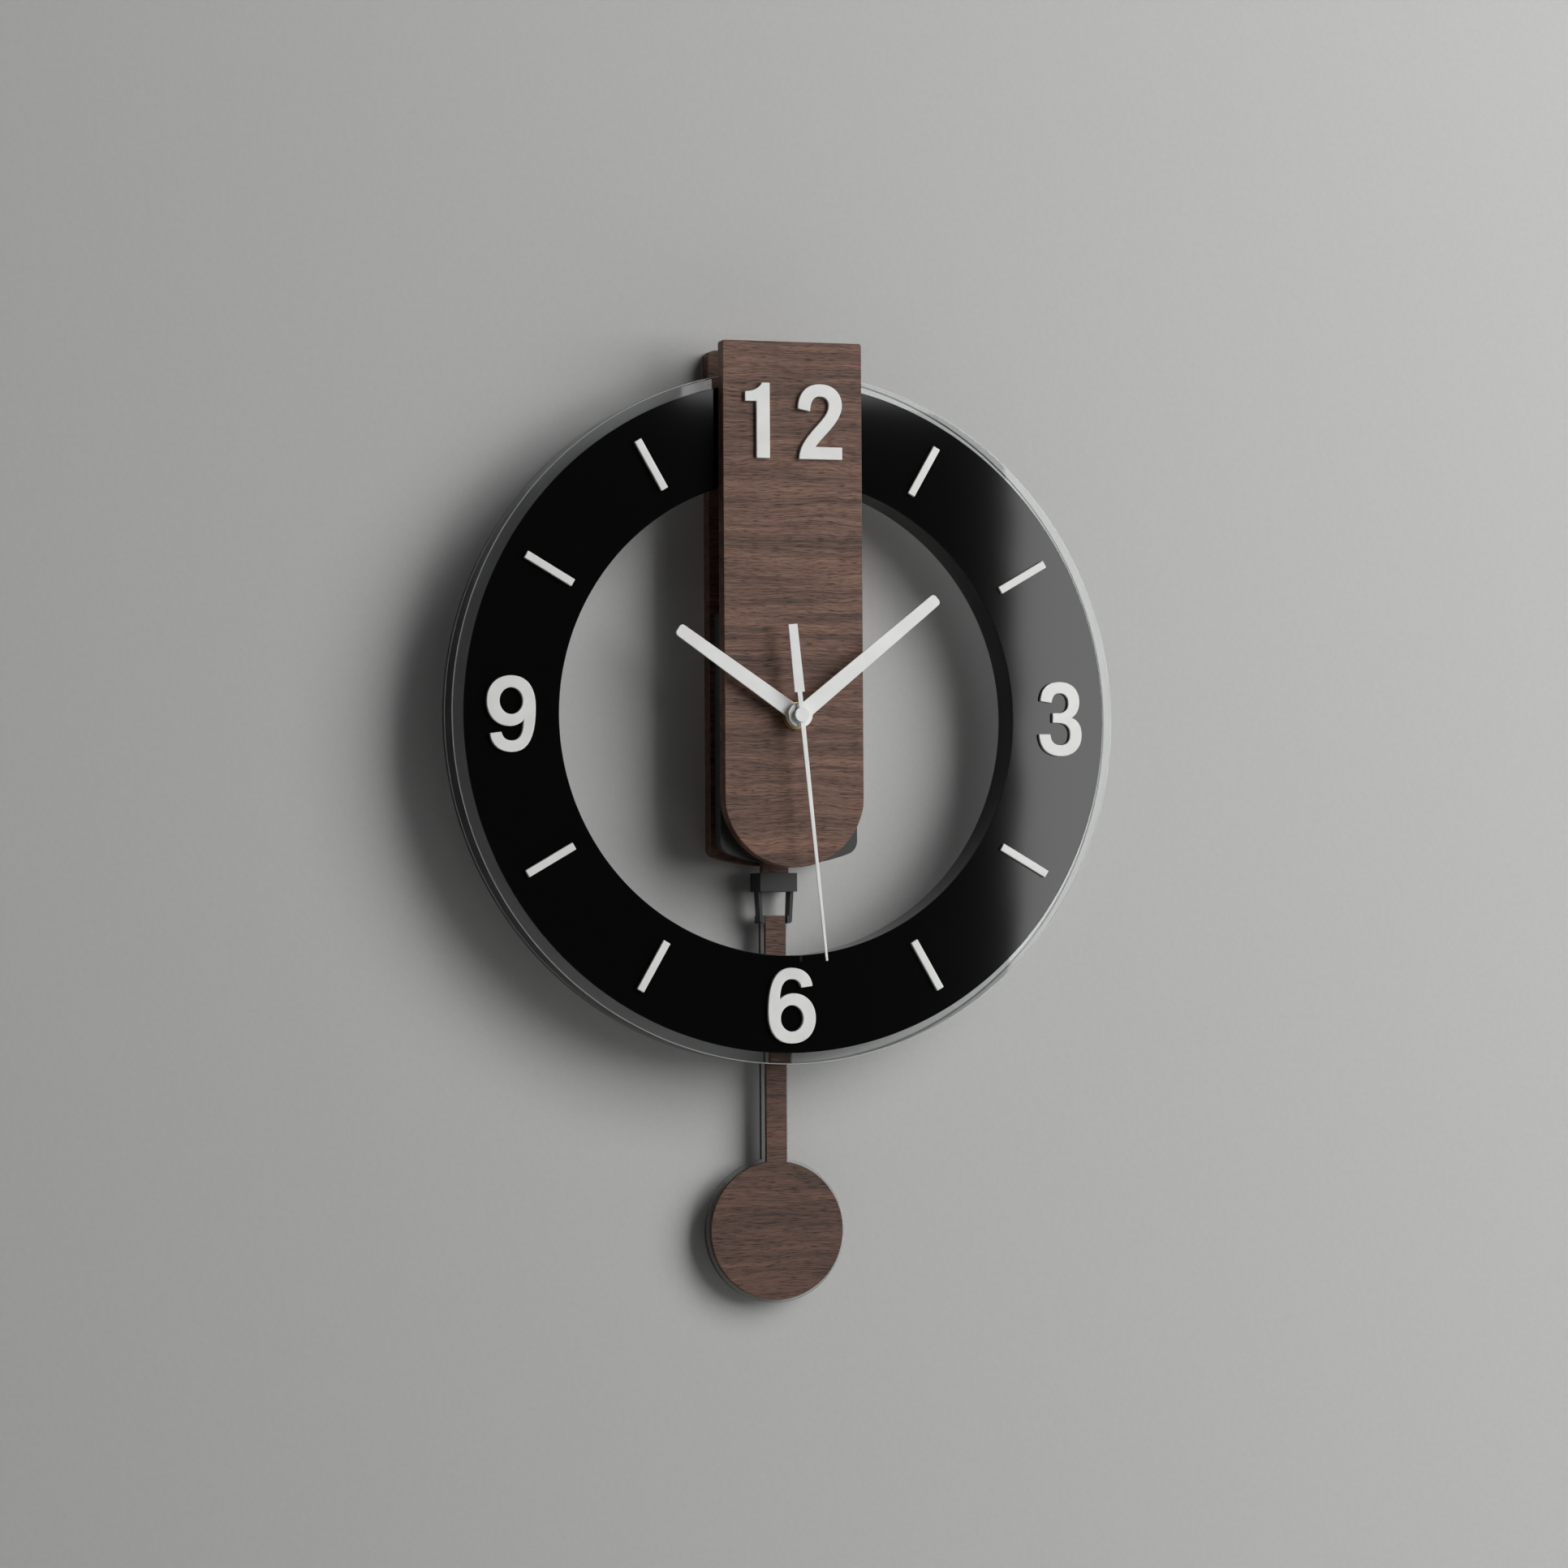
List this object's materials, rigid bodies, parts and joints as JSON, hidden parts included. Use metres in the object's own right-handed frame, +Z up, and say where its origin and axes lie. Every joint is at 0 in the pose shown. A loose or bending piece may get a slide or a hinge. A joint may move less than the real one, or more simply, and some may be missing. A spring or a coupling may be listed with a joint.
{
  "type": "pendulum wall clock",
  "caption": "Wall clock with a clear ring dial with a black face, walnut front and back boards, white hands and numerals, and a walnut disc pendulum that swings behind the ring.",
  "frame": {"origin": "point of the wall hook, at the top of the hanger's keyhole slot, on the wall plane", "axes": "+X to the right as seen from the front, +Y into the wall, +Z up"},
  "size_m": [0.3, 0.0511, 0.4149],
  "materials": {
    "walnut": "matte",
    "black_acrylic": "polished",
    "clear_acrylic": "polished",
    "white_paint": "satin",
    "white_plastic": "satin",
    "black_plastic": "satin",
    "gear_plastic": "satin",
    "rubber": "matte",
    "brass": "turned",
    "steel": "zinc plated",
    "copper": "enamelled wire",
    "circuit": "satin",
    "battery": "printed sleeve"
  },
  "bodies": {
    "clock_frame": {"back_board": "walnut", "front_board": "walnut", "dial_face": "black_acrylic", "dial_lining": "black_acrylic", "dial_ring": "clear_acrylic", "hour_bars": "white_plastic", "numeral_12": "white_plastic", "numeral_3": "white_plastic", "numeral_6": "white_plastic", "numeral_9": "white_plastic", "ring_spacers": "black_plastic", "case_standoffs": "black_plastic", "movement_case": "black_plastic", "case_back_cover": "black_plastic", "bearing_plate": "gear_plastic", "rubber_washer": "rubber", "threaded_bush": "brass", "brass_nut": "brass", "hanger_plate": "steel", "hanger_screws": "steel", "ring_screws": "steel", "standoff_screws": "steel", "cover_screws": "steel", "motor_stator": "steel", "quartz_crystal": "steel", "battery_contacts": "steel", "pivot_pin": "steel", "pivot_clip": "steel", "motor_coil": "copper", "pendulum_coil": "copper", "circuit_board": "circuit", "battery": "battery"},
    "rotor_body": {"rotor": "gear_plastic"},
    "intermediate_body": {"intermediate_wheel": "gear_plastic"},
    "second_body": {"second_wheel": "gear_plastic", "second_hand": "white_paint"},
    "third_body": {"third_wheel": "gear_plastic"},
    "centre_body": {"centre_wheel": "gear_plastic"},
    "minute_body": {"minute_pipe": "brass", "minute_hand": "white_paint"},
    "motion_body": {"motion_wheel": "gear_plastic"},
    "hour_body": {"hour_wheel": "gear_plastic", "hour_hand": "white_paint"},
    "setting_body": {"setting_wheel": "black_plastic"},
    "door_body": {"battery_door": "black_plastic"},
    "pendulum_body": {"pendulum_arm": "walnut", "arm_bushing": "brass", "arm_magnet": "steel", "pendulum_yoke": "black_plastic", "yoke_pin": "steel", "rod_sheet": "clear_acrylic", "rod_veneer": "walnut"}
  },
  "joints": [
    {"name": "second_turn", "type": "hinge", "parent": "clock_frame", "child": "second_body", "pos_m": [0, -0.02, -0.138], "axis": [0, 1, 0], "continuous": true},
    {"name": "rotor_turn", "type": "hinge", "parent": "clock_frame", "child": "rotor_body", "pos_m": [-0.01396, -0.02, -0.14777], "axis": [0, 1, 0], "continuous": true},
    {"name": "intermediate_turn", "type": "hinge", "parent": "clock_frame", "child": "intermediate_body", "pos_m": [-0.00708, -0.02, -0.14296], "axis": [0, 1, 0], "continuous": true},
    {"name": "third_turn", "type": "hinge", "parent": "clock_frame", "child": "third_body", "pos_m": [0, -0.02, -0.12936], "axis": [0, 1, 0], "continuous": true},
    {"name": "centre_turn", "type": "hinge", "parent": "clock_frame", "child": "centre_body", "pos_m": [0, -0.02, -0.138], "axis": [0, 1, 0], "continuous": true},
    {"name": "minute_turn", "type": "hinge", "parent": "clock_frame", "child": "minute_body", "pos_m": [0, -0.02, -0.138], "axis": [0, 1, 0], "continuous": true},
    {"name": "motion_turn", "type": "hinge", "parent": "clock_frame", "child": "motion_body", "pos_m": [0.01, -0.02, -0.138], "axis": [0, 1, 0], "continuous": true},
    {"name": "hour_turn", "type": "hinge", "parent": "clock_frame", "child": "hour_body", "pos_m": [0, -0.02, -0.138], "axis": [0, 1, 0], "continuous": true},
    {"name": "setting_turn", "type": "hinge", "parent": "clock_frame", "child": "setting_body", "pos_m": [0.023, -0.02, -0.138], "axis": [0, 1, 0], "continuous": true},
    {"name": "pendulum_swing", "type": "hinge", "parent": "clock_frame", "child": "pendulum_body", "pos_m": [0, -0.02, -0.132], "axis": [0, 1, 0], "range_deg": [-7, 7]},
    {"name": "door_pull", "type": "slide", "parent": "clock_frame", "child": "door_body", "axis": [1, 0, 0], "range_m": [0, 0.012]}
  ],
  "couplings": [
    {"joint": "intermediate_turn", "follows": "second_turn", "ratio": -5},
    {"joint": "rotor_turn", "follows": "second_turn", "ratio": 30},
    {"joint": "third_turn", "follows": "second_turn", "ratio": -0.13333},
    {"joint": "centre_turn", "follows": "second_turn", "ratio": 0.016667},
    {"joint": "motion_turn", "follows": "minute_turn", "ratio": -0.33333},
    {"joint": "hour_turn", "follows": "minute_turn", "ratio": 0.083333},
    {"joint": "setting_turn", "follows": "minute_turn", "ratio": 0.45455}
  ]
}
